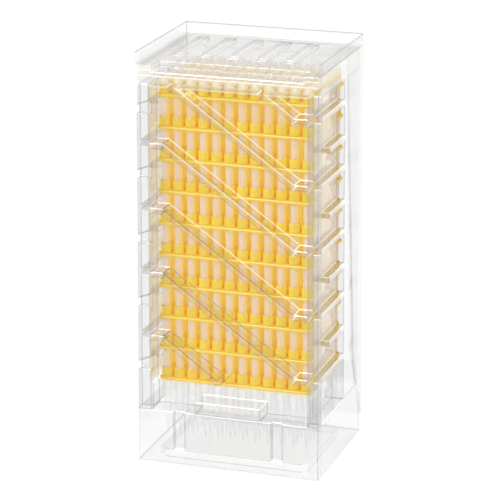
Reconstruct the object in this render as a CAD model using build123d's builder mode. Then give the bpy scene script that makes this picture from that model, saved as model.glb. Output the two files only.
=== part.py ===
from build123d import *
import os

# A refill tower of nested pipette tips: ten trays of 96 tips stacked in a clear
# thermoformed pack. The front shell carries the trays and has the foot of the pack.
# The back cover slides onto it from behind. The front faces -Y, and the origin is on
# the ground under the middle of the pack. Millimetres.

# Pack
width = 126.5
depth = 101.5
height = 285
sheet = 0.5  # thickness of the clear sheet
gap = 0.3  # play between the two halves of the pack
front = -depth / 2
back = depth / 2

# Trays and tips
tray_count = 10
columns = 12
rows = 8
pitch = 9  # between tips, both ways
tray_width = 109
tray_depth = 73
tray_plate = 2
tray_rise = 21.95  # from one tray to the next
tray_y = 0.5  # middle of the trays
first_tray = 54.4  # underside of the lowest tray
sleeve_height = 6.4
sleeve_size = 7.6
collar_height = 4.2  # what a tip shows above its sleeve
collar_size = 6.8
shank_size = 5.8  # a tip just below its tray
point_size = 2.2  # its lower end
point_drop = 38  # from the tray to the points of the lowest tips
round_sides = 4  # tips and sleeves are round, drawn with few sides

# Front shell
shell_width = width - 2 * (sheet + gap)
shell_top = 276.3
tower_back = back - 5
tub_back = back - sheet - gap
tub_top = 29  # height of the low wall across the back of the foot
corner = 3
base_top = 37.7
panel_top = 261.8
panel_left = -53
panel_right = 54.4
panel_depth = 13.4
ledge_top = first_tray - sheet  # the lowest tray rests on the sheet's upper face
ledge_step = 2.6
side_depth = 5.6
side_front = front + 7.7
side_back = front + 60
side_half = front + 25  # where the short bands of a side wall start
grip_front = front + 81  # shallow grips behind the bands, under the edge of the cover
grip_length = 12
grip_height = 7
grip_depth = 1.6
rib = 4.2
rib_rise = 44.4  # between ribs on one post
rib_low = 68.6  # the lowest rib on the right post
rib_fall = 64.7  # a rib falls this much from the left post to the right one
rib_left = -45
rib_right = 45
hook_x = -7.2  # the lowest rib stops short and turns up
hook_low = 61
hook_rise = 4.8
boss_width = 45.4
boss_top = 46.4
flute_x = 33.8
flute_width = 6.8
flute_depth = 2.4
flute_bottom = 10.6
notch_height = 4.6  # at the corner, and more where it meets the panel
notch_climb = 4
notch_depth = 5
shoulder_depth = 15.5
shoulder_drop = 4.2
foot_border = 11.6
foot_rise = 5.8
roof_rib_width = 7.7
roof_rib_rise = 2
roof_rib_pitch = 19.4
roof_rib_x = -45.2
roof_rib_front = front + 33
roof_rib_back = front + 88

# Back cover
cover_bottom = 11.6
cover_knee_z = 58
cover_knee_y = front + 82
cover_top_y = front + 65
lip = 6.8  # the ledge that lies on the roof of the shell


def seats(ring_only):
    """Places of the tips on a tray: the outer ring alone, or all of them."""
    xs = [(i - (columns - 1) / 2) * pitch for i in range(columns)]
    ys = [(j - (rows - 1) / 2) * pitch + tray_y for j in range(rows)]
    spots = [(x, y) for x in xs for y in ys]
    if ring_only:
        spots = [(x, y) for x, y in spots if x in (xs[0], xs[-1]) or y in (ys[0], ys[-1])]
    return spots


def rib_heights(post):
    """Heights at which the ribs meet the left or the right corner post."""
    start = rib_low if post == "right" else rib_low + rib_fall - rib_rise
    return [start + k * rib_rise for k in range(5) if start + k * rib_rise < panel_top]


def envelope(inset):
    """The outside of the front shell, or its inside, which is open at the back."""
    wide = shell_width - 2 * inset
    open_back = 10 if inset else 0
    with BuildPart() as body:
        with BuildSketch(Plane.XY.offset(inset)):
            with Locations((0, (front + tub_back) / 2)):
                Rectangle(wide, tub_back - front - 2 * inset)
        extrude(amount=tub_top - inset)
        with BuildSketch(Plane.XY.offset(tub_top)):
            with Locations((0, front + inset)):
                Rectangle(wide, tower_back - front - inset + open_back, align=(Align.CENTER, Align.MIN))
        extrude(amount=shell_top - inset - tub_top)
        with BuildSketch(Plane.XY.offset(shell_top - inset)):
            with Locations((0, (roof_rib_front + roof_rib_back) / 2)):
                with Locations(*[(roof_rib_x + i * roof_rib_pitch, 0) for i in range(5)]):
                    Rectangle(roof_rib_width - 2 * inset, roof_rib_back - roof_rib_front - 2 * inset)
        extrude(amount=roof_rib_rise)
    return body.part


def front_hollows(grow):
    """What is pressed into the front: the panel between the ribs, the ledge, flutes and shoulder."""
    with BuildPart() as cut:
        with BuildSketch(Plane.XZ.offset(-front)):
            with Locations(((panel_left + panel_right) / 2, (base_top + panel_top) / 2)):
                Rectangle(panel_right - panel_left + 2 * grow, panel_top - base_top + 2 * grow)
            with Locations((0, base_top)):
                Rectangle(
                    boss_width - 2 * grow,
                    boss_top - base_top - grow,
                    align=(Align.CENTER, Align.MIN),
                    mode=Mode.SUBTRACT,
                )
            for low in rib_heights("right"):
                high = low + rib_fall
                with BuildLine():
                    Polyline((-width, high), (rib_left, high), (rib_right, low), (width, low))
                trace(line_width=rib - 2 * grow, mode=Mode.SUBTRACT)
            with BuildLine():
                start = rib_heights("left")[0]
                Polyline((-width, start), (rib_left, start), (hook_x, hook_low))
            trace(line_width=rib - 2 * grow, mode=Mode.SUBTRACT)
            with BuildLine():
                Line((hook_x, hook_low), (hook_x + hook_rise, hook_low + hook_rise))
            trace(line_width=rib - 2 * grow, mode=Mode.SUBTRACT)
            with Locations((hook_x, hook_low), (hook_x + hook_rise, hook_low + hook_rise)):
                Circle(rib / 2 - grow, mode=Mode.SUBTRACT)
        extrude(amount=-(panel_depth + grow))
    return cut.part


def side_hollows(grow, full, short):
    """What is pressed into the right wall: full bands run its whole depth, short ones half of it."""
    tall = panel_top - base_top + 2 * grow
    with BuildPart() as cut:
        with BuildSketch(Plane.YZ.offset(shell_width / 2)):
            with Locations(((side_front + side_back) / 2, (base_top + panel_top) / 2)):
                Rectangle(side_back - side_front + 2 * grow, tall)
            with Locations(*[((side_front + side_back) / 2, z) for z in full]):
                Rectangle(side_back - side_front + 2 * grow, rib - 2 * grow, mode=Mode.SUBTRACT)
            with Locations(*[(side_back + grow, z) for z in short]):
                Rectangle(
                    side_back - side_half,
                    rib - 2 * grow,
                    align=(Align.MAX, Align.CENTER),
                    mode=Mode.SUBTRACT,
                )
        extrude(amount=-(side_depth + grow))
        with BuildSketch(Plane.YZ.offset(shell_width / 2)):
            with Locations(((side_front + side_back) / 2, base_top - grow)):
                Rectangle(
                    side_back - side_front + 2 * grow,
                    ledge_top - base_top + grow,
                    align=(Align.CENTER, Align.MIN),
                )
        extrude(amount=-(side_depth + ledge_step + grow))
        with BuildSketch(Plane.YZ.offset(shell_width / 2)):
            with Locations(*[(grip_front + grip_length / 2, z) for z in full]):
                Rectangle(grip_length + 2 * grow, grip_height + 2 * grow)
        extrude(amount=-(grip_depth + grow))
    return cut.part


def foot_and_top_hollows(grow):
    """The step for the lowest tray, the flutes of the foot, its raised floor, and the shoulder."""
    with BuildPart() as cut:
        with BuildSketch(Plane.XZ.offset(-front)):
            with Locations(((panel_left + panel_right) / 2, base_top - grow)):
                Rectangle(
                    panel_right - panel_left + 2 * grow,
                    ledge_top - base_top + grow,
                    align=(Align.CENTER, Align.MIN),
                )
            with Locations((0, base_top - grow)):
                Rectangle(
                    boss_width - 2 * grow,
                    boss_top - base_top,
                    align=(Align.CENTER, Align.MIN),
                    mode=Mode.SUBTRACT,
                )
        extrude(amount=-(panel_depth + ledge_step + grow))
        with BuildSketch(Plane.XZ.offset(-front)):
            with Locations((-flute_x, flute_bottom - grow), (flute_x, flute_bottom - grow)):
                Rectangle(
                    flute_width + 2 * grow,
                    base_top - flute_bottom + 2 * grow,
                    align=(Align.CENTER, Align.MIN),
                )
        extrude(amount=-(flute_depth + grow))
        with BuildSketch(Plane.XY):
            with Locations((0, (front + tub_back) / 2)):
                RectangleRounded(
                    shell_width - 2 * foot_border + 2 * grow,
                    tub_back - front - 2 * foot_border + 2 * grow,
                    corner + grow,
                )
        extrude(amount=foot_rise + grow)
        with BuildSketch(Plane.XY.offset(shell_top - shoulder_drop - grow)):
            with Locations((0, front)):
                Rectangle(
                    panel_right - panel_left - 4 + 2 * grow,
                    shoulder_depth + grow,
                    align=(Align.CENTER, Align.MIN),
                )
        extrude(amount=shoulder_drop + grow)
        with BuildSketch(Plane.XZ.offset(-front)):
            for z in rib_heights("right"):
                with BuildLine():
                    Polyline(
                        (-shell_width / 2 - grow, z - notch_height / 2 - grow),
                        (panel_left + grow, z - notch_height / 2 - grow),
                        (panel_left + grow, z + notch_height / 2 + notch_climb + grow),
                        (-shell_width / 2 - grow, z + notch_height / 2 + grow),
                        close=True,
                    )
                make_face()
        extrude(amount=-(notch_depth + grow))
    return cut.part


def pressed(inset):
    """The outside of the sheet, or with an inset its inside: the envelope less all the hollows."""
    left = rib_heights("left")
    right = rib_heights("right")
    with BuildPart() as body:
        add(envelope(inset))
        add(front_hollows(inset), mode=Mode.SUBTRACT)
        add(side_hollows(inset, right, left), mode=Mode.SUBTRACT)
        add(mirror(side_hollows(inset, left, right), about=Plane.YZ), mode=Mode.SUBTRACT)
        add(foot_and_top_hollows(inset), mode=Mode.SUBTRACT)
    return body.part


os.makedirs("parts", exist_ok=True)

with BuildPart() as front_shell:
    add(pressed(0))
    add(pressed(sheet), mode=Mode.SUBTRACT)
front_shell.part.label = "front_shell"
export_step(front_shell.part, "parts/front_shell.step")

# The cover is a sleeve open in front, cut back at the sides, with a lip over the roof.
with BuildPart() as back_cover:
    with BuildSketch(Plane.XY.offset(cover_bottom)):
        Rectangle(width, depth)
        with Locations((0, -sheet)):
            Rectangle(width - 2 * sheet, depth, mode=Mode.SUBTRACT)
    extrude(amount=height - cover_bottom)
    with BuildSketch(Plane.YZ):
        with BuildLine():
            Polyline(
                (back, cover_bottom),
                (cover_knee_y, cover_knee_z),
                (cover_top_y, shell_top),
                (front, shell_top),
                (front, 0),
                (back, 0),
                close=True,
            )
        make_face()
    extrude(amount=width, both=True, mode=Mode.SUBTRACT)
    with BuildSketch(Plane.XY.offset(shell_top + gap)):
        Rectangle(width, depth)
        with Locations((0, -lip)):
            Rectangle(width - 2 * lip, depth, mode=Mode.SUBTRACT)
    extrude(amount=sheet)
back_cover.part.label = "back_cover"
export_step(back_cover.part, "parts/back_cover.step")

for index in range(tray_count):
    floor = first_tray + index * tray_rise
    deck = floor + tray_plate
    top_tray = index == tray_count - 1
    shown = seats(not top_tray)
    with BuildPart() as tray:
        with BuildSketch(Plane.XY.offset(floor)) as plate:
            with Locations((0, tray_y)):
                Rectangle(tray_width, tray_depth)
            chamfer(plate.vertices(), corner)
        extrude(amount=tray_plate)
        with BuildSketch(Plane.XY.offset(deck)):
            with Locations(*shown):
                RegularPolygon(sleeve_size / 2, round_sides, major_radius=False, rotation=45)
        extrude(amount=sleeve_height)
    tray.part.label = f"tray_{index + 1:02d}"
    export_step(tray.part, f"parts/{tray.part.label}.step")

    # A tip hangs to its point, or as far as the sleeve that its end is nested in.
    reach = tray_rise - tray_plate - sleeve_height if index else point_drop
    taper = (shank_size - point_size) / 2 * reach / point_drop
    with BuildPart() as tips:
        with Locations(*[(x, y, floor) for x, y in seats(True)]):
            Wedge(
                shank_size,
                reach,
                shank_size,
                taper,
                taper,
                shank_size - taper,
                shank_size - taper,
                rotation=(-90, 0, 0),
                align=(Align.CENTER, Align.MIN, Align.CENTER),
            )
        if top_tray:
            with BuildSketch(Plane.XY.offset(deck + sleeve_height)):
                with Locations(*shown):
                    RegularPolygon(collar_size / 2, round_sides, major_radius=False, rotation=45)
            extrude(amount=collar_height)
    tips.part.label = f"tips_{index + 1:02d}"
    export_step(tips.part, f"parts/{tips.part.label}.step")
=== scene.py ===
import bmesh
import bpy
import math
import numpy as np
from mathutils import Matrix, Vector


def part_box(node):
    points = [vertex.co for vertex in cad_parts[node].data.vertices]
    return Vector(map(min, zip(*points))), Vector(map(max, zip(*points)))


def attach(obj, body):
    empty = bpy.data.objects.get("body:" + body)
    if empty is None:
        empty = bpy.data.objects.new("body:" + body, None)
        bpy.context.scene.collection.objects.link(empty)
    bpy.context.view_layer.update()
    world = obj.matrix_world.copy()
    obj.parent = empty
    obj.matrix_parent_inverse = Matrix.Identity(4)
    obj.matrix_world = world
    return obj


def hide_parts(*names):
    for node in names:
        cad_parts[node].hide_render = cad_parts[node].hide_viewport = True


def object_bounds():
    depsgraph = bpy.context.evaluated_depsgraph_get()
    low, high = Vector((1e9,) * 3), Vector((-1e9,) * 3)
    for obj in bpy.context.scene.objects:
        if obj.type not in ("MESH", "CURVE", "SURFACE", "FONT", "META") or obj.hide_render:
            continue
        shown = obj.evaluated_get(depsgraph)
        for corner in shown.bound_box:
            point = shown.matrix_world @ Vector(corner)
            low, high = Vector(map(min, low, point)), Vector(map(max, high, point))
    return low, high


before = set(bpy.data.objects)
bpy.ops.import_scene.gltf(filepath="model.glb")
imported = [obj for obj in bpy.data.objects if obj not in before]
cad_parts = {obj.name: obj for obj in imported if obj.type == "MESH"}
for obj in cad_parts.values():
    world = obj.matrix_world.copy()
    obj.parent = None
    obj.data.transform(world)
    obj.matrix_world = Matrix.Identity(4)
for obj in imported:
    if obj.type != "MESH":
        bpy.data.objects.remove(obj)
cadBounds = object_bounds()
print("frame loaded", len(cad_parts), "nodes")

mm = 0.001
tipPitch = 9 * mm
tipColumns = 12
tipRows = 8
trayNames = sorted(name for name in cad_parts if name.startswith("tray_"))


# Shader maths: a socket that can be added, multiplied and so on.
class Wire:
    def __init__(self, graph, socket):
        self.graph = graph
        self.socket = socket

    def maths(self, operation, first, second=0.0):
        return self.graph.node("ShaderNodeMath", {"operation": operation}, {0: first, 1: second})

    def __add__(self, other):
        return self.maths("ADD", self, other)

    def __radd__(self, other):
        return self.maths("ADD", other, self)

    def __sub__(self, other):
        return self.maths("SUBTRACT", self, other)

    def __rsub__(self, other):
        return self.maths("SUBTRACT", other, self)

    def __mul__(self, other):
        return self.maths("MULTIPLY", self, other)

    def __rmul__(self, other):
        return self.maths("MULTIPLY", other, self)

    def __pow__(self, other):
        return self.maths("POWER", self, other)

    def __gt__(self, other):
        return self.maths("GREATER_THAN", self, other)

    def __lt__(self, other):
        return self.maths("LESS_THAN", self, other)

    def __or__(self, other):
        return self.maths("MAXIMUM", self, other)


# One material and its nodes. Settings are set before the sockets.
class Graph:
    def __init__(self, name):
        self.material = bpy.data.materials.new(name)
        self.material.use_nodes = True
        self.tree = self.material.node_tree
        self.tree.nodes.clear()

    def node(self, kind, settings=None, inputs=None, output=0):
        made = self.tree.nodes.new(kind)
        for key, value in (settings or {}).items():
            setattr(made, key, value)
        for key, value in (inputs or {}).items():
            if isinstance(value, Wire):
                self.tree.links.new(value.socket, made.inputs[key])
            else:
                made.inputs[key].default_value = value
        return Wire(self, made.outputs[output]) if len(made.outputs) else made

    def finish(self, surface):
        self.node("ShaderNodeOutputMaterial", {}, {"Surface": surface})
        return self.material


blend = {"data_type": "RGBA"}  # its sockets are 0 for the share, and 6 and 7 for the colours
white = (1.0, 1.0, 1.0, 1.0)

sheetLook = {
    "tint": (0.990, 0.988, 0.982, 1.0),  # light let through by each thin face
    "thickTint": (0.937, 0.937, 0.938, 1.0),  # by each thick one
    "footTint": (0.985, 0.986, 0.987, 1.0),  # and by each one of the foot
    "edgeTint": (0.62, 0.62, 0.63, 1.0),  # and by any of them edge on
    "haze": 0.004,  # how much of the sheet itself is seen straight on
    "streakHaze": 0.035,  # more along the streaks of a thick face
    "edgeHaze": 0.05,
    "hazeColour": (0.82, 0.82, 0.82, 1.0),
    "roughness": 0.05,
    "mirror": 0.012,  # reflected straight on, from one face of the sheet
    "thinEdgeMirror": 0.25,
    "edgeMirror": 0.98,
    "leftPost": -53.5,  # millimetres, as all the places below
    "rightPost": 52.9,
    "postBack": -45.0,
    "sideWall": 55.8,
    "sideFront": -43.0,  # from here back the edges of thick faces reflect more
    "panelBack": -30.0,
    "panelBottom": 38.0,
    "panelTop": 262.0,
    "endShare": 0.3,  # how thick the foot and the top are, of the posts and the walls
    "streaks": (1.0, 1.0, 0.02),  # upright streaks: the noise is drawn out along z
    "streakScale": 260.0,
    "streakStart": 0.35,  # the noise where a streak begins
    "waves": 60.0,  # slight waves of the sheet
    "waveDetail": 3.0,
    "waveHeight": 0.08,
    "hazeRoughness": 0.5,
}


# Clear sheet. The slant is nothing straight on and 1 edge on. The mirror share rises with its
# third power, and the tint darkens with its eighth. The sheet is thin where it was drawn out
# most, in the deep panel and its ribs, and full in the posts, the side walls and the back.
def makeClearSheet():
    graph = Graph("clearSheet")
    place = graph.node("ShaderNodeTexCoord", {}, {}, output=3)
    waves = {"Vector": place, "Scale": sheetLook["waves"], "Detail": sheetLook["waveDetail"]}
    noise = graph.node("ShaderNodeTexNoise", {}, waves)
    drawn = graph.node("ShaderNodeMapping", {}, {"Vector": place, "Scale": sheetLook["streaks"]})
    streaks = graph.node("ShaderNodeTexNoise", {}, {"Vector": drawn, "Scale": sheetLook["streakScale"]})
    x, y, z = (graph.node("ShaderNodeSeparateXYZ", {}, {0: place}, output=axis) for axis in range(3))
    posts = (x > sheetLook["rightPost"] * mm) | (x < sheetLook["leftPost"] * mm)
    walls = (x > sheetLook["sideWall"] * mm) | (x < -sheetLook["sideWall"] * mm)
    full = posts * (y < sheetLook["postBack"] * mm) | walls | (y > sheetLook["panelBack"] * mm)
    foot = z < sheetLook["panelBottom"] * mm
    ends = (z > sheetLook["panelTop"] * mm) | foot
    thick = (full - ends) | (ends * sheetLook["endShare"])
    waved = {"Height": noise, "Strength": sheetLook["waveHeight"], "Distance": 1 * mm}
    bump = graph.node("ShaderNodeBump", {}, waved)
    slant = graph.node("ShaderNodeLayerWeight", {}, {"Blend": 0.5, "Normal": bump}, output=1)
    tint, thickTint, footTint, edgeTint = (
        graph.node("ShaderNodeBsdfTransparent", {}, {"Color": sheetLook[name]})
        for name in ("tint", "thickTint", "footTint", "edgeTint")
    )
    haze = graph.node(
        "ShaderNodeBsdfPrincipled",
        {},
        {"Base Color": sheetLook["hazeColour"], "Roughness": sheetLook["hazeRoughness"]},
    )
    shine = graph.node(
        "ShaderNodeBsdfPrincipled",
        {},
        {
            "Base Color": white,
            "Metallic": 1.0,
            "Roughness": sheetLook["roughness"],
            "Normal": bump,
        },
    )
    clear = graph.node("ShaderNodeMixShader", {}, {0: thick, 1: tint, 2: thickTint})
    clear = graph.node("ShaderNodeMixShader", {}, {0: foot, 1: clear, 2: footTint})
    through = graph.node("ShaderNodeMixShader", {}, {0: slant ** 8.0, 1: clear, 2: edgeTint})
    streaked = thick * ((streaks - sheetLook["streakStart"]) * (2 * sheetLook["streakHaze"]))
    share = sheetLook["haze"] + streaked + (slant ** 3.0) * sheetLook["edgeHaze"]
    body = graph.node("ShaderNodeMixShader", {}, {0: share, 1: through, 2: haze})
    more = sheetLook["edgeMirror"] - sheetLook["thinEdgeMirror"]
    rise = thick * (y > sheetLook["sideFront"] * mm) * more + sheetLook["thinEdgeMirror"]
    mirror = sheetLook["mirror"] + (slant ** 3.0) * rise
    return graph.finish(graph.node("ShaderNodeMixShader", {}, {0: mirror, 1: body, 2: shine}))


bendLook = {
    "pale": (0.97, 0.97, 0.97, 1.0),  # painted highlight: bends that face up
    "grey": (0.40, 0.40, 0.40, 1.0),  # painted shade: upright bends, seen as grey lines
    "dark": (0.18, 0.11, 0.07, 1.0),  # darker painted shade: bends that face down
    "noGlow": (0.0, 0.0, 0.0, 1.0),
    "paintedGlow": (0.5, 0.5, 0.5, 1.0),  # painted glow of bends that face up, part of their painted highlight
    "lineRoughness": 0.5,
    "share": 0.34,  # how much of the bend itself is seen
    "tint": (0.93, 0.93, 0.93, 1.0),
    "roughness": 0.15,
    "mirror": 0.05,
}


# A bend is seen as a line of painted light. Its colour goes by an attribute of the mesh:
# 1 where the bend faces up (pale, with a painted glow: a painted highlight), 0 where it is upright
# (grey: painted shade), -1 where it faces down (dark: painted shade).
def makeBend():
    graph = Graph("sheetBend")
    rise = graph.node("ShaderNodeAttribute", {"attribute_name": "rise"}, {}, output=2)
    colour = graph.node("ShaderNodeMix", blend, {0: rise, 6: bendLook["grey"], 7: bendLook["pale"]}, 2)
    colour = graph.node("ShaderNodeMix", blend, {0: rise * -1.0, 6: colour, 7: bendLook["dark"]}, 2)
    paintedGlow = graph.node("ShaderNodeMix", blend, {0: rise, 6: bendLook["noGlow"], 7: bendLook["paintedGlow"]}, 2)
    line = graph.node(
        "ShaderNodeBsdfPrincipled",
        {},
        {
            "Base Color": colour,
            "Roughness": bendLook["lineRoughness"],
            "Emission Color": paintedGlow,
            "Emission Strength": 1.0,
        },
    )
    clear = graph.node("ShaderNodeBsdfTransparent", {}, {"Color": bendLook["tint"]})
    shine = graph.node(
        "ShaderNodeBsdfPrincipled",
        {},
        {"Base Color": white, "Metallic": 1.0, "Roughness": bendLook["roughness"]},
    )
    body = graph.node("ShaderNodeMixShader", {}, {0: bendLook["share"], 1: clear, 2: line})
    return graph.finish(graph.node("ShaderNodeMixShader", {}, {0: bendLook["mirror"], 1: body, 2: shine}))


trayLook = {
    "colour": (0.82, 0.59, 0.045, 1.0),
    "deep": (0.82, 0.55, 0.03, 1.0),
    "warm": (0.79, 0.53, 0.03, 1.0),  # painted bounce light: sleeves inside the stack coloured as if they stand in yellow light
    # painted glow, standing in for light let through the plastic; warmer on sleeves inside the stack
    "paintedGlow": (0.06, 0.045, 0.002, 1.0),
    "paintedWarmGlow": (0.20, 0.13, 0.008, 1.0),
    "roughness": 0.32,
    "depth": 0.3,  # share of light that goes into the plastic
    "reach": (1.0, 0.6, 0.1),  # and how far each colour of it goes
    "reachScale": 3.0,
    "clouds": 90.0,
    "cloudDetail": 4.0,
    "cloudHeight": 0.05,
}


# Yellow plastic, slightly clouded, with a faint painted glow. An attribute says how much painted
# yellow bounce light a face gets inside the stack: a warmer colour and a stronger painted glow.
def makeTrayPlastic():
    graph = Graph("trayYellow")
    place = graph.node("ShaderNodeTexCoord", {}, {}, output=3)
    clouds = {"Vector": place, "Scale": trayLook["clouds"], "Detail": trayLook["cloudDetail"]}
    noise = graph.node("ShaderNodeTexNoise", {}, clouds)
    paintedBounce = graph.node("ShaderNodeAttribute", {"attribute_name": "paintedBounce"}, {}, output=2)
    colour = graph.node("ShaderNodeMix", blend, {0: noise, 6: trayLook["colour"], 7: trayLook["deep"]}, 2)
    colour = graph.node("ShaderNodeMix", blend, {0: paintedBounce, 6: colour, 7: trayLook["warm"]}, 2)
    paintedGlow = graph.node("ShaderNodeMix", blend, {0: paintedBounce, 6: trayLook["paintedGlow"], 7: trayLook["paintedWarmGlow"]}, 2)
    clouded = {"Height": noise, "Strength": trayLook["cloudHeight"], "Distance": 1 * mm}
    bump = graph.node("ShaderNodeBump", {}, clouded)
    plastic = graph.node(
        "ShaderNodeBsdfPrincipled",
        {},
        {
            "Base Color": colour,
            "Roughness": trayLook["roughness"],
            "Normal": bump,
            "Subsurface Weight": trayLook["depth"],
            "Subsurface Radius": trayLook["reach"],
            "Subsurface Scale": trayLook["reachScale"] * mm,
            "Emission Color": paintedGlow,
            "Emission Strength": 1.0,
        },
    )
    return graph.finish(plastic)


tipLook = {
    "pale": (0.77, 0.67, 0.68, 1.0),
    "warm": (0.78, 0.62, 0.18, 1.0),  # painted bounce light: tips inside the stack coloured as if they stand in yellow light
    "clear": (0.35, 0.36, 0.37, 1.0),  # below the lowest tray
    # painted glow: faint on the tips in the trays, yellow inside the stack, white where they are clearer
    "paintedPaleGlow": (0.08, 0.07, 0.06, 1.0),
    "paintedWarmGlow": (0.25, 0.19, 0.04, 1.0),
    "paintedClearGlow": (0.60, 0.60, 0.61, 1.0),
    "clarity": 0.45,  # light let through, above the lowest tray and below it
    "hangingClarity": 0.75,
    "edgeTint": (0.72, 0.72, 0.73, 1.0),
    "edgeShare": 0.3,  # how much of that tint the tips in the trays have
    "edgeEnd": 1.85,  # how free a tip hangs where it has no tint of its own any more
    "edgeGain": 1.18,
    "roughness": 0.28,
    "specular": 0.3,
    "depth": 0.5,  # share of light that goes into the plastic
    "reach": (1.0, 0.9, 0.8),  # and how far each colour of it goes
    "reachScale": 4.0,
}


# Milky tips, with painted light. Two attributes of the mesh say how much painted yellow bounce
# light a tip gets inside the stack (a warm colour and a painted yellow glow), and which tips hang
# free (clearer, with a painted white glow). All tips have a faint painted glow. Where a tip lets
# light through, it lets less through edge on.
def makeTipPlastic():
    graph = Graph("tipMilky")
    paintedBounce = graph.node("ShaderNodeAttribute", {"attribute_name": "paintedBounce"}, {}, output=2)
    hanging = graph.node("ShaderNodeAttribute", {"attribute_name": "hanging"}, {}, output=2)
    colour = graph.node("ShaderNodeMix", blend, {0: paintedBounce, 6: tipLook["pale"], 7: tipLook["warm"]}, 2)
    colour = graph.node("ShaderNodeMix", blend, {0: hanging, 6: colour, 7: tipLook["clear"]}, 2)
    paintedGlow = graph.node("ShaderNodeMix", blend, {0: paintedBounce, 6: tipLook["paintedPaleGlow"], 7: tipLook["paintedWarmGlow"]}, 2)
    paintedGlow = graph.node("ShaderNodeMix", blend, {0: hanging, 6: paintedGlow, 7: tipLook["paintedClearGlow"]}, 2)
    slant = graph.node("ShaderNodeLayerWeight", {}, {"Blend": 0.5}, output=1)
    clear = graph.node("ShaderNodeBsdfTransparent", {}, {"Color": white})
    dim = graph.node("ShaderNodeBsdfTransparent", {}, {"Color": tipLook["edgeTint"]})
    # the tint is full just below the lowest tray, and weaker towards the points
    seen = hanging * (tipLook["edgeEnd"] - hanging) * tipLook["edgeGain"]
    edge = (slant ** 2.0) * (tipLook["edgeShare"] + seen * (1 - tipLook["edgeShare"]))
    through = graph.node("ShaderNodeMixShader", {}, {0: edge, 1: clear, 2: dim})
    plastic = graph.node(
        "ShaderNodeBsdfPrincipled",
        {},
        {
            "Base Color": colour,
            "Roughness": tipLook["roughness"],
            "Specular IOR Level": tipLook["specular"],
            "Subsurface Weight": tipLook["depth"],
            "Subsurface Radius": tipLook["reach"],
            "Subsurface Scale": tipLook["reachScale"] * mm,
            "Emission Color": paintedGlow,
            "Emission Strength": 1.0,
        },
    )
    share = (1 - tipLook["clarity"]) - hanging * (tipLook["hangingClarity"] - tipLook["clarity"])
    return graph.finish(graph.node("ShaderNodeMixShader", {}, {0: share, 1: through, 2: plastic}))


clearSheet = makeClearSheet()
sheetBend = makeBend()
trayYellow = makeTrayPlastic()
tipMilky = makeTipPlastic()
print("materials made")


def meshPiece(name, points, faces, material, smooth=True):
    mesh = bpy.data.meshes.new(name)
    mesh.from_pydata(points.tolist(), [], faces)
    mesh.materials.append(material)
    mesh.polygons.foreach_set("use_smooth", [smooth] * len(mesh.polygons))
    mesh.update()
    piece = bpy.data.objects.new(name, mesh)
    bpy.context.scene.collection.objects.link(piece)
    return piece


def paint(piece, name, values):
    piece.data.attributes.new(name, "FLOAT", "POINT").data.foreach_set("value", values)


# Faces between rings of points: point j of ring i is number i times the sides plus j. Each ring
# runs back to its start, and the last ring joins the first when closed is true.
def grid(rings, sides, closed):
    i, j = np.meshgrid(np.arange(rings if closed else rings - 1), np.arange(sides), indexing="ij")
    nextI = (i + 1) % rings
    nextJ = (j + 1) % sides
    quads = np.stack([i * sides + j, i * sides + nextJ, nextI * sides + nextJ, nextI * sides + j], -1)
    return quads.reshape(-1, 4)


# A surface of revolution: ring i of the profile (radius, height) turned through the sides.
# The profile is a closed loop when closed is true, so the wall has an inside and an outside.
def turned(profile, sides, closed):
    profile = np.array(profile)
    angle = np.arange(sides) * 2 * np.pi / sides
    rings = len(profile)
    points = np.empty((rings, sides, 3))
    points[..., 0] = profile[:, :1] * np.cos(angle)
    points[..., 1] = profile[:, :1] * np.sin(angle)
    points[..., 2] = profile[:, 1:2]
    return points.reshape(-1, 3), grid(rings, sides, closed)


# Copies of one shape at many places: the points are shifted, and the faces counted on.
def repeated(points, quads, places):
    many = (points[None] + places[:, None]).reshape(-1, 3)
    counts = (np.arange(len(places)) * len(points))[:, None, None]
    return many, (quads[None] + counts).reshape(-1, quads.shape[1])


# Places of the tips of a tray, column by column.
def seats(centre):
    x = (np.arange(tipColumns) - (tipColumns - 1) / 2) * tipPitch
    y = (np.arange(tipRows) - (tipRows - 1) / 2) * tipPitch
    places = np.stack([*np.meshgrid(x, y, indexing="ij"), np.zeros((tipColumns, tipRows))], -1)
    return places.reshape(-1, 3) + np.array(centre)


openSide = {"full": 0.97, "fade": 0.5}  # cosine to the open side, where it is quite open and its fade


# How far each point of each round shape is turned away from the open sides of its tray: 0 on
# the side of an outer one that faces out, and deep everywhere on an inner one. It is the mask of
# the painted yellow bounce light on tips and sleeves.
def shelter(points, deep):
    column, row = np.divmod(np.arange(tipColumns * tipRows), tipRows)
    facing = points[:, :2] / np.maximum(np.linalg.norm(points[:, :2], axis=1), 1e-9)[:, None]
    exposed = np.zeros((len(column), len(points)))
    for edge, axis, sign in (
        (column == 0, 0, -1),
        (column == tipColumns - 1, 0, 1),
        (row == 0, 1, -1),
        (row == tipRows - 1, 1, 1),
    ):
        exposed = np.maximum(exposed, edge[:, None] * facing[None, :, axis] * sign)
    return np.clip((openSide["full"] - exposed) / openSide["fade"], 0, 1) * deep


tip = {
    "sides": 12,
    "top": 12.6,  # where nothing is nested in it, and otherwise it ends in the sleeve
    "nestedTop": 8.0,
    "cup": 7.4,
    "rimRadius": 3.4,
    "hubRadius": 3.25,
    "hub": 0.5,
    "neckRadius": 3.15,
    "enterRadius": 2.8,
    "enterDrop": 20.0,
    "pointRadius": 0.5,
    "pointHole": 0.2,
    "drop": 40.0,
    "wall": 0.5,
    "topClear": 0.6,  # how much clearer the tips look above the top tray, with part of the painted white glow
    "topWarmth": 0.6,  # and how much painted yellow bounce light they get
    "pointFade": 0.82,  # and how they fade towards their points below the lowest one
}
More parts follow.
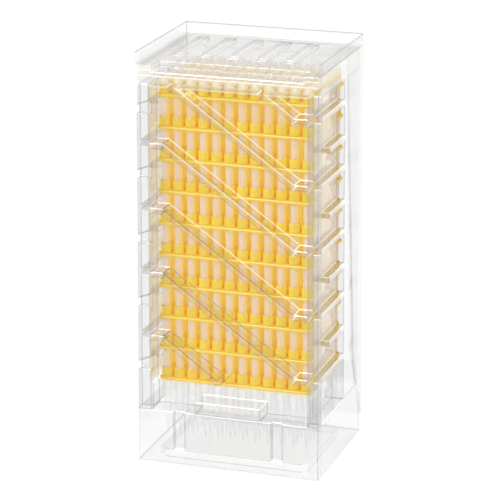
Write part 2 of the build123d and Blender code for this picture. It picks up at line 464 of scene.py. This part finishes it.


# The 96 tips of a tray. They are painted with how much painted yellow bounce light they get
# inside the stack, and with how free they hang, which makes them clearer and adds a painted glow.
def buildTips(trayName):
    low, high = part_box(trayName)
    centre = ((low[0] + high[0]) / 2, (low[1] + high[1]) / 2, low[2])
    top = (tip["top"] if trayName == trayNames[-1] else tip["nestedTop"]) * mm
    wall = tip["wall"] * mm
    profile = [
        (tip["pointRadius"] * mm, -tip["drop"] * mm),
        (tip["enterRadius"] * mm, -tip["enterDrop"] * mm),
        (tip["neckRadius"] * mm, 0.0),
        (tip["hubRadius"] * mm, tip["hub"] * mm),
        (tip["rimRadius"] * mm, tip["cup"] * mm),
        (tip["rimRadius"] * mm, top),
        (tip["rimRadius"] * mm - wall, top),
        (tip["neckRadius"] * mm - wall, 0.0),
    ]
    lowest = trayName == trayNames[0]
    if lowest:  # these hang free, so they are hollow down to the point
        profile += [(tip["pointHole"] * mm, -tip["drop"] * mm)]
    points, quads = turned(profile, tip["sides"], lowest)
    many, faces = repeated(points, quads, seats(centre))
    name = trayName.replace("tray", "tips")
    piece = meshPiece(name + ".visual", many, faces.tolist(), tipMilky)
    height = points[:, 2]
    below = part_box(trayNames[0])[0][2] - low[2] - height  # under the lowest tray
    sheltered = shelter(points, 1.0) * (below < 0)
    hanging = (1 + tip["pointFade"] * below / (tip["drop"] * mm)) * (below >= 0)
    if trayName == trayNames[-1]:  # open to the light above: a set share of painted bounce light, and clearer with painted glow above the cup
        sheltered = np.where(height <= 0, sheltered, tip["topWarmth"])
        hanging = tip["topClear"] * (height > tip["cup"] * mm)
    paint(piece, "paintedBounce", sheltered.reshape(-1))
    paint(piece, "hanging", np.tile(hanging, tipColumns * tipRows))
    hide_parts(name)
    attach(piece, "loaded_shell")


for trayName in trayNames:
    buildTips(trayName)
print("tips made")

tray = {
    "cornerRadius": 4.0,
    "cornerSteps": 5,
    "plate": 2.0,
    "edgeRound": 0.5,
    "sleeveRadius": 3.8,
    "sleeveInside": 3.4,
    "sleeveTop": 8.4,
    "sleeveSink": 0.4,  # how deep a sleeve reaches into the plate
    "sleeveTaper": 0.05,
    "lip": 0.25,
    "lipInside": 0.1,
    "sleeveSides": 12,
    "sharp": 50.0,
    "warmth": 0.9,  # painted yellow bounce light on the sides of the sleeves that face each other
    "topWarmth": 0.3,  # and less of it on the top tray, which is open to the light
}


# Points and outward directions round a rectangle with round corners.
def roundedOutline(width, depth, radius, arcSteps):
    turn = np.arange(arcSteps + 1) / arcSteps * np.pi / 2
    angle = (np.arange(4)[:, None] * np.pi / 2 + turn[None]).reshape(-1)
    signX = np.repeat([1, -1, -1, 1], arcSteps + 1)
    signY = np.repeat([1, 1, -1, -1], arcSteps + 1)
    out = np.stack([np.cos(angle), np.sin(angle)], -1)
    middle = np.stack([signX * (width / 2 - radius), signY * (depth / 2 - radius)], -1)
    return middle + out * radius, out


# A profile of (inset, height) carried round an outline: point = outline - inset * outward.
def carried(outline, out, insets, heights):
    steps, rings = len(outline), len(insets)
    points = np.empty((rings, steps, 3))
    points[..., :2] = outline[None] - out[None] * np.array(insets)[:, None, None]
    points[..., 2] = np.array(heights)[:, None]
    return points.reshape(-1, 3), grid(rings, steps, False)


# A plate with rounded edges, with 96 sleeves standing on it.
def buildTray(trayName):
    low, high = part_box(trayName)
    centre = np.array([(low[0] + high[0]) / 2, (low[1] + high[1]) / 2, low[2]])
    width, depth = high[0] - low[0], high[1] - low[1]
    outline, out = roundedOutline(width, depth, tray["cornerRadius"] * mm, tray["cornerSteps"])
    rounding, plate = tray["edgeRound"] * mm, tray["plate"] * mm
    insets = [rounding, 0.0, 0.0, rounding]
    heights = [0.0, rounding, plate - rounding, plate]
    platePoints, plateQuads = carried(outline, out, insets, heights)
    ring, count = len(outline), len(platePoints)
    underside = list(range(ring))[::-1]
    upperSide = list(range(count - ring, count))

    outer, inner, top = tray["sleeveRadius"] * mm, tray["sleeveInside"] * mm, tray["sleeveTop"] * mm
    foot, lip = plate - tray["sleeveSink"] * mm, tray["lip"] * mm
    profile = [
        (outer, foot),
        (outer - tray["sleeveTaper"] * mm, top - lip),
        (outer - lip, top),
        (inner + tray["lipInside"] * mm, top),
        (inner, top - lip),
        (inner, foot),
    ]
    sleevePoints, sleeveQuads = turned(profile, tray["sleeveSides"], True)
    sleeves, sleeveFaces = repeated(sleevePoints, sleeveQuads, seats((0, 0, 0)))
    points = np.concatenate([platePoints, sleeves]) + centre
    faces = plateQuads.tolist() + [underside, upperSide] + (sleeveFaces + count).tolist()
    piece = meshPiece(trayName + ".visual", points, faces, trayYellow)
    # painted yellow bounce light on the sleeves, none on the plate
    warmth = tray["warmth"] if trayName != trayNames[-1] else tray["topWarmth"]
    sheltered = shelter(sleevePoints, warmth).reshape(-1)
    paint(piece, "paintedBounce", np.concatenate([np.zeros(count), sheltered]))
    piece.data.set_sharp_from_angle(angle=math.radians(tray["sharp"]))
    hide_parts(trayName)
    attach(piece, "loaded_shell")


for trayName in trayNames:
    buildTray(trayName)
print("trays made")


shell = {
    "bendRadius": 0.4,
    "bendSteps": 2,
    "sharp": 25.0,
    "thinFace": 0.7,  # faces narrower than this are cut edges of the sheet
    "join": 0.001,  # points nearer than this are one
    "flat": 1.0,  # faces that turn by less than this are one
    "draft": 0.024,  # how much wider the pack is at the ground than at the top
    "roof": 270.0,
    "leftPost": -53.5,
}
creases = {"front_shell": (37.7, 269.3, 273.1), "back_cover": (284.2,)}  # lines pressed into flat walls
shoulder = {"bottom": 259.0, "top": 275.0, "back": -36.0, "facing": 0.7, "across": 0.5}
ribs = {  # heights are those in the middle of the pack
    "slope": 0.719,
    "shadeBelow": 170.0,  # below it the outer upper edge of a rib gets dark painted shade
    "rootShadeBelow": 120.0,  # and below it the inner one gets grey painted shade
    "darkness": 0.9,
    "calm": 0.7,  # how much fainter the painted shade on the lower edges of those ribs is
    "root": -44.0,
    "halfWidth": 42.0,
    "bottom": 50.0,
    "back": -30.0,
}


# How far each face looks up, taken on the side of the sheet that looks away from the middle of
# the pack; it sets the painted highlights and painted shade of the bends. The roof and the left
# wall count as upright, the lines across the shoulder as facing up (painted highlights), and the
# outer edges of the lower ribs as facing down (dark painted shade).
def paintSheet(mesh):
    count = len(mesh.polygons)
    normals, centres = np.empty(count * 3), np.empty(count * 3)
    mesh.polygons.foreach_get("normal", normals)
    mesh.polygons.foreach_get("center", centres)
    normals = normals.reshape(-1, 3)
    x, y, z = centres.reshape(-1, 3).T / mm
    outward = np.sign(normals[:, 0] * x + normals[:, 1] * y)
    walls = (z < shell["roof"]) & (x > shell["leftPost"])
    rise = np.clip(normals[:, 2] * outward * 2, -1, 1) * walls
    # painted highlight lines across the shoulder
    lit = (z > shoulder["bottom"]) & (z < shoulder["top"]) & (y < shoulder["back"])
    rise[lit & (np.abs(normals[:, 0]) < shoulder["across"])] = 1
    along = z + ribs["slope"] * x  # the same all along a rib
    outer = y < ribs["root"]
    shadeBelow = along < np.where(outer, ribs["shadeBelow"], ribs["rootShadeBelow"])
    shadeBelow &= (np.abs(x) < ribs["halfWidth"]) & (y < ribs["back"]) & (z > ribs["bottom"])
    # painted shade on the upper edges of the lower ribs, and fainter painted shade on their lower edges
    upper = rise - shadeBelow * (1 + ribs["darkness"] * outer)
    rise = np.where(rise > 0, upper, rise * (1 - ribs["calm"] * shadeBelow))
    mesh.attributes.new("rise", "FLOAT", "FACE").data.foreach_set("value", rise)


# Cuts a level line into the walls, so that it is bent like an edge. A line across the shoulder
# goes only into the faces that look forwards.
def crease(soft, weights, height):
    across = shoulder["bottom"] < height < shoulder["top"]
    faces = [face for face in soft.faces if face.normal.y < -shoulder["facing"] or not across]
    edges = list({edge for face in faces for edge in face.edges})
    verts = list({vert for face in faces for vert in face.verts})
    cut = bmesh.ops.bisect_plane(
        soft, geom=verts + edges + faces, plane_co=(0, 0, height * mm), plane_no=(0, 0, 1)
    )
    for edge in cut["geom_cut"]:
        if isinstance(edge, bmesh.types.BMEdge):
            edge[weights] = 1.0


# A copy of a CAD node with its flat faces joined up and its bends rounded. Faces as narrow as
# the sheet is thick are its cut edges, and stay sharp. A known fault: the cut edge at the slanted
# lower end of the cover is wider than thinFace where the back wall ends, so it is rounded from
# both sides, its outline crosses itself, and its triangles span the opening.
def softened(name, body):
    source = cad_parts[name]
    soft = bmesh.new()
    soft.from_mesh(source.data)
    bmesh.ops.remove_doubles(soft, verts=soft.verts, dist=shell["join"] * mm)
    flat, sharp = math.radians(shell["flat"]), math.radians(shell["sharp"])
    bmesh.ops.dissolve_limit(soft, angle_limit=flat, verts=soft.verts, edges=soft.edges)
    weights = soft.edges.layers.float.new("bevel_weight_edge")
    thin = shell["thinFace"] * mm
    narrow = {face for face in soft.faces if 2 * face.calc_area() / face.calc_perimeter() < thin}
    for edge in soft.edges:
        bend = len(edge.link_faces) == 2 and edge.calc_face_angle(0.0) > sharp
        edge[weights] = 1.0 if bend and not narrow.intersection(edge.link_faces) else 0.0
    for face in narrow:
        face.material_index = 1
    for height in creases[name]:
        crease(soft, weights, height)
    for vert in soft.verts:
        vert.co.x *= 1 + shell["draft"] * (1 - vert.co.z / cadBounds[1][2])
    mesh = bpy.data.meshes.new(name + ".visual")
    soft.to_mesh(mesh)
    soft.free()
    mesh.materials.clear()
    mesh.materials.append(clearSheet)
    mesh.materials.append(sheetBend)
    mesh.polygons.foreach_set("use_smooth", [True] * len(mesh.polygons))
    mesh.set_sharp_from_angle(angle=sharp)
    piece = bpy.data.objects.new(name + ".visual", mesh)
    bpy.context.scene.collection.objects.link(piece)
    bevel = piece.modifiers.new("bends", "BEVEL")
    bevel.limit_method = "WEIGHT"
    bevel.width = shell["bendRadius"] * mm
    bevel.use_clamp_overlap = False  # a few short arcs would thin every bend
    bevel.segments = shell["bendSteps"]
    bevel.material = 1
    bevel.harden_normals = True
    whole = piece.evaluated_get(bpy.context.evaluated_depsgraph_get())
    piece.data = bpy.data.meshes.new_from_object(whole)
    piece.modifiers.clear()
    paintSheet(piece.data)
    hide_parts(name)
    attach(piece, body)


softened("front_shell", "loaded_shell")
softened("back_cover", "cover")
print("clear sheets made")


stageLook = {
    "floorColour": (0.35, 0.35, 0.35, 1.0),
    "floorGlow": 0.66,
    "floorRoughness": 0.7,
    "floorReach": 3.0,  # metres from the middle to each side
    "skyStrength": 0.85,
}


def makeFloor():
    graph = Graph("paleFloor")
    matte = graph.node(
        "ShaderNodeBsdfPrincipled",
        {},
        {
            "Base Color": stageLook["floorColour"],
            "Roughness": stageLook["floorRoughness"],
            "Emission Color": white,
            "Emission Strength": stageLook["floorGlow"],
        },
    )
    corners = np.array([(-1, -1, 0), (1, -1, 0), (1, 1, 0), (-1, 1, 0)]) * stageLook["floorReach"]
    floor = meshPiece("floor", corners, [[0, 1, 2, 3]], graph.finish(matte), smooth=False)


# The camera sees a white room, and the object reflects and is lit by a greyer one.
def makeSky():
    world = bpy.data.worlds.new("studio")
    world.use_nodes = True
    tree = world.node_tree
    background = tree.nodes["Background"]
    background.inputs["Color"].default_value = white
    path = tree.nodes.new("ShaderNodeLightPath")
    strength = tree.nodes.new("ShaderNodeMapRange")
    strength.inputs["To Min"].default_value = stageLook["skyStrength"]
    strength.inputs["To Max"].default_value = 1.0
    tree.links.new(path.outputs["Is Camera Ray"], strength.inputs["Value"])
    tree.links.new(strength.outputs["Result"], background.inputs["Strength"])
    bpy.context.scene.world = world


lampTarget = (0, 0, 0.15)
lamps = {
    "keyLight": {"place": (-0.9, -1.0, 1.3), "size": 0.4, "watts": 8.0},
    "rightLight": {"place": (1.2, -0.4, 0.7), "size": 0.3, "watts": 3.0},
    "backLight": {"place": (0.2, 1.3, 1.1), "size": 0.6, "watts": 6.0},
    "glintLight": {"place": (-0.3, -1.0, 1.5), "size": 0.7, "watts": 60.0, "onlyGlossy": True},
}


def makeLamps():
    for name, lamp in lamps.items():
        light = bpy.data.lights.new(name, "AREA")
        light.energy = lamp["watts"]
        light.size = lamp["size"]
        holder = bpy.data.objects.new(name, light)
        holder.visible_diffuse = not lamp.get("onlyGlossy", False)
        holder.location = lamp["place"]
        aim = Vector(lampTarget) - holder.location
        holder.rotation_euler = aim.to_track_quat("-Z", "Y").to_euler()
        bpy.context.scene.collection.objects.link(holder)


cameraLook = {  # degrees, metres and the lens in millimetres
    "azimuth": 18.19,
    "elevation": 17.0,
    "distance": 1.7693,
    "lens": 188.1,
    "sensor": 36.0,
    "right": -0.0016,
    "up": -0.0015,
}


def makeCamera():
    low, high = (Vector(corner) for corner in cadBounds)
    a = math.radians(cameraLook["azimuth"])
    e = math.radians(cameraLook["elevation"])
    back = Vector((math.sin(a) * math.cos(e), -math.cos(a) * math.cos(e), math.sin(e)))
    right = Vector((math.cos(a), math.sin(a), 0))
    up = back.cross(right)
    data = bpy.data.cameras.new("camera")
    data.lens = cameraLook["lens"]
    data.sensor_width = cameraLook["sensor"]
    camera = bpy.data.objects.new("camera", data)
    shift = right * cameraLook["right"] + up * cameraLook["up"]
    camera.matrix_world = Matrix((right, up, back)).transposed().to_4x4()
    camera.location = (low + high) / 2 + back * cameraLook["distance"] + shift
    bpy.context.scene.collection.objects.link(camera)
    bpy.context.scene.camera = camera


makeFloor()
makeSky()
makeLamps()
makeCamera()
bpy.context.scene.view_settings.view_transform = "Standard"
bpy.context.scene.cycles.transparent_max_bounces = 40  # a line of sight crosses many sheets and tips
print("stage made")
